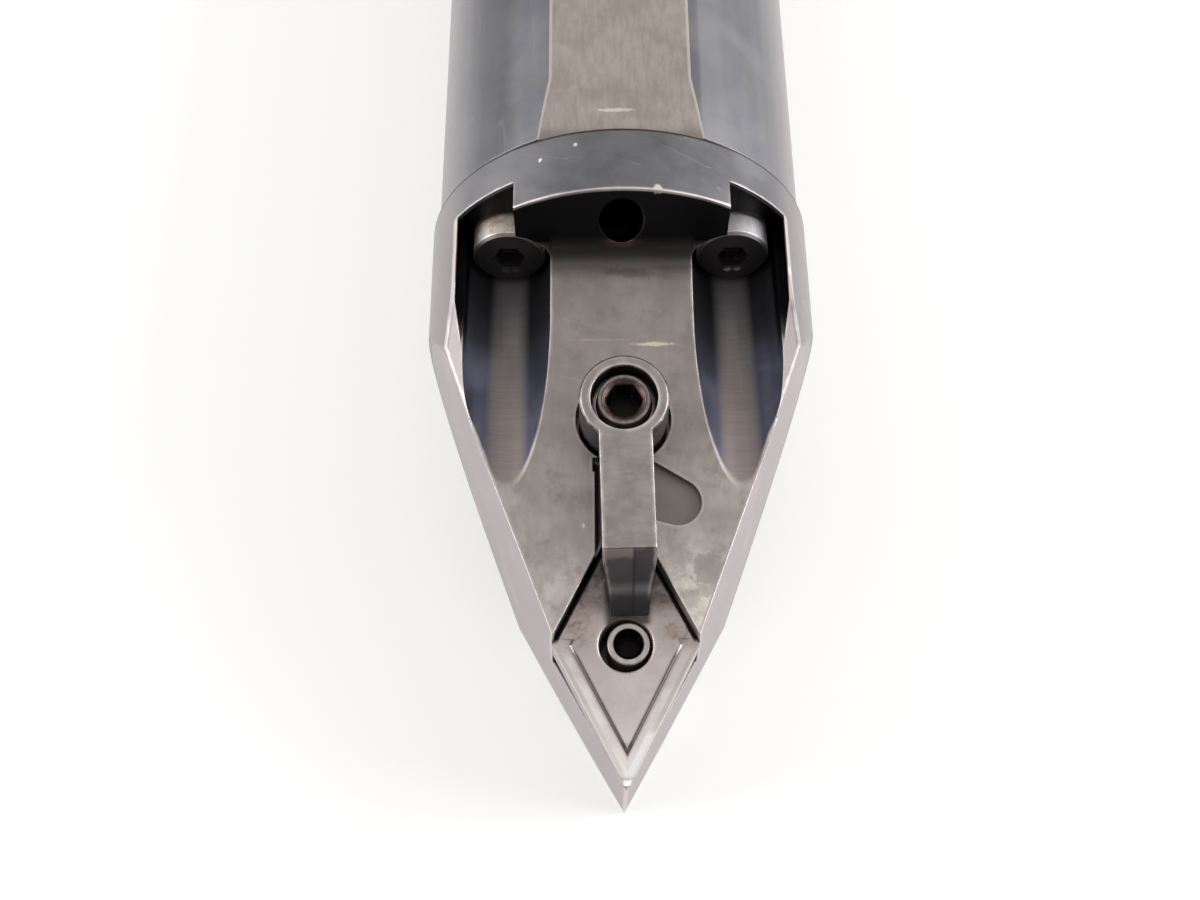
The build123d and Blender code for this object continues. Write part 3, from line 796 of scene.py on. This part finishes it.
pin_steel, tree, shader = metal("worn pin steel", 0.85)
marks = use(tree, tool_marks, Stretch=(1.0, 1.0, 1.0), Scale=2200.0)
edge = use(tree, edge_wear, Reach=0.0003, Strength=2.0, Patches=900.0)["Mask"]
off = off_tilted(tree, pin_top)
colour = shade(tree, marks["Tint"], ink(190, 181, 176), ink(214, 205, 200))
colour = shade(tree, edge, colour, ink(226, 220, 216), 0.3)
# painted shade in the pin's socket
colour = shade(tree, between(tree, off, 0.00160, 0.00146), colour, ink(22, 17, 17))
colour = shade(tree, between(tree, off, 0.00206, 0.00211), colour, ink(30, 26, 26))
finish(tree, shader, colour, between(tree, marks["Tint"], 0, 1, 0.3, 0.42), marks["Height"], 0.000008)
bolt = dressed("lock_pin", pin_steel, 0.00005, 25.0)

# ---------------------------------------------------------------------------
# Clamp
# Forged steel finger on a round barrel, blued. It presses on the insert's top
# and its upper face and edges are rubbed bright.
# ---------------------------------------------------------------------------
seam_x = 0.00075

# painted shade in corners, from an ambient occlusion node
corner_shade, given, gives = effect("shade in corners", {"Reach": 0.002, "Strength": 1.5}, ["Mask"])
outer = put(corner_shade, "ShaderNodeAmbientOcclusion", {"Distance": given["Reach"]}, only_local=False, samples=8)
hollow = meet(corner_shade, other(corner_shade, outer.outputs["AO"]), given["Strength"])
corner_shade.links.new(between(corner_shade, hollow, 0.1, 1.0), gives["Mask"])

clamp_steel, tree, shader = metal("rubbed clamp steel", 0.85)
place = here(tree)
spot = axes(tree, place)
normal = here(tree, "Normal")
facing = axes(tree, normal)
level = above_land(tree, place)
top = between(tree, vmath(tree, "DOT_PRODUCT", normal, land_up), 0.7, 0.95)
marks = use(tree, tool_marks, Stretch=(0.35, 1.0, 1.0), Scale=1700.0)
mottle = mottled(tree, 380.0, 0.65)
edge = use(tree, edge_wear, Reach=0.0006, Strength=2.4, Patches=800.0)["Mask"]
corner_shade_mask = use(tree, corner_shade, Reach=0.002, Strength=1.2)["Mask"]
colour = shade(tree, mottle, ink(40, 39, 41), ink(54, 52, 54))
# painted shade low down, near the land
colour = shade(tree, between(tree, level, 0.0016, 0.0006), colour, ink(30, 28, 30), 0.85)
rubbed = shade(tree, mottle, ink(156, 148, 145), ink(170, 162, 159))
rubbed = shade(tree, marks["Tint"], rubbed, ink(140, 134, 132), 0.4)
colour = shade(tree, top, colour, rubbed)
# front of the nose: a brown band at its top, lighter left of the forging's seam than right of it as painted
# light on two facets;
# below it two faces painted dark as painted shade, a painted highlight along the bend, painted shade at the
# bottom, and the seam's dark line
front = meet(tree, between(tree, facing["Y"], -0.35, -0.6), between(tree, spot["Y"], -0.0395, -0.0400))
seam = calc(tree, "SUBTRACT", spot["X"], seam_x)
seam_side = between(tree, seam, -0.0001, 0.0001)
band = shade(tree, seam_side, ink(118, 106, 100), ink(72, 64, 62))
soft = calc(tree, "ADD", level, meet(tree, mottle, 0.0003))
dark = shade(tree, seam_side, ink(72, 70, 72), ink(64, 62, 64))
band = shade(tree, between(tree, soft, 0.0048, 0.0041), band, dark)
band = shade(tree, between(tree, level, 0.0004, -0.0008), band, ink(60, 58, 60))
bend_highlight = between(tree, calc(tree, "ABSOLUTE", calc(tree, "SUBTRACT", level, 0.0003)), 0.0010, 0.0001)
band = shade(tree, bend_highlight, band, ink(112, 108, 109), 0.8)
line = between(tree, calc(tree, "ABSOLUTE", seam), 0.00022, 0.00004)
band = shade(tree, line, band, ink(44, 40, 40), 0.6)
colour = shade(tree, front, colour, band)
# painted shade in corners
colour = shade(tree, corner_shade_mask, colour, ink(16, 14, 15))
scuff = use(tree, scratches, Turn=0.15, Scale=700.0, Amount=0.45)["Mask"]
colour = shade(tree, meet(tree, scuff, top), colour, ink(190, 184, 178))
worn = shade(tree, front, edge, meet(tree, edge, between(tree, level, -0.0012, 0.0004, 0.0, 0.5)))
colour = shade(tree, worn, colour, ink(222, 212, 208), 0.9)
height = calc(tree, "ADD", marks["Height"], mottle)
finish(tree, shader, colour, between(tree, mottle, 0, 1, 0.34, 0.46), height, 0.000012)
finger = dressed("clamp", clamp_steel, 0.00012, 18.0)

# ---------------------------------------------------------------------------
# Clamp screw
# Headless socket screw that draws the clamp down into the head. Its rim is
# polished by the key, and its socket is painted near black as painted shade.
# ---------------------------------------------------------------------------
clamp_y = -0.0261
clamp_foot = land_top - math.tan(land_tilt) * (wall_y - clamp_y)

oily, tree, shader = metal("oily screw steel", 0.8)
marks = use(tree, tool_marks, Stretch=(1.0, 1.0, 1.0), Scale=2200.0)
edge = use(tree, edge_wear, Reach=0.0003, Strength=1.6, Patches=900.0)["Mask"]
off = off_tilted(tree, (0, clamp_y, clamp_foot))
colour = shade(tree, marks["Tint"], ink(128, 118, 115), ink(158, 148, 144))
chamfer = shade(tree, marks["Tint"], ink(84, 68, 65), ink(112, 94, 90))
colour = shade(tree, between(tree, off, 0.00232, 0.00218), colour, chamfer)
# painted shade in the socket
colour = shade(tree, between(tree, off, 0.00185, 0.00168), colour, ink(34, 28, 28))
colour = shade(tree, edge, colour, ink(186, 176, 172), 0.4)
finish(tree, shader, colour, between(tree, marks["Tint"], 0, 1, 0.32, 0.44), marks["Height"], 0.000008)
grub = dressed("clamp_screw", oily, 0.00006, 25.0)
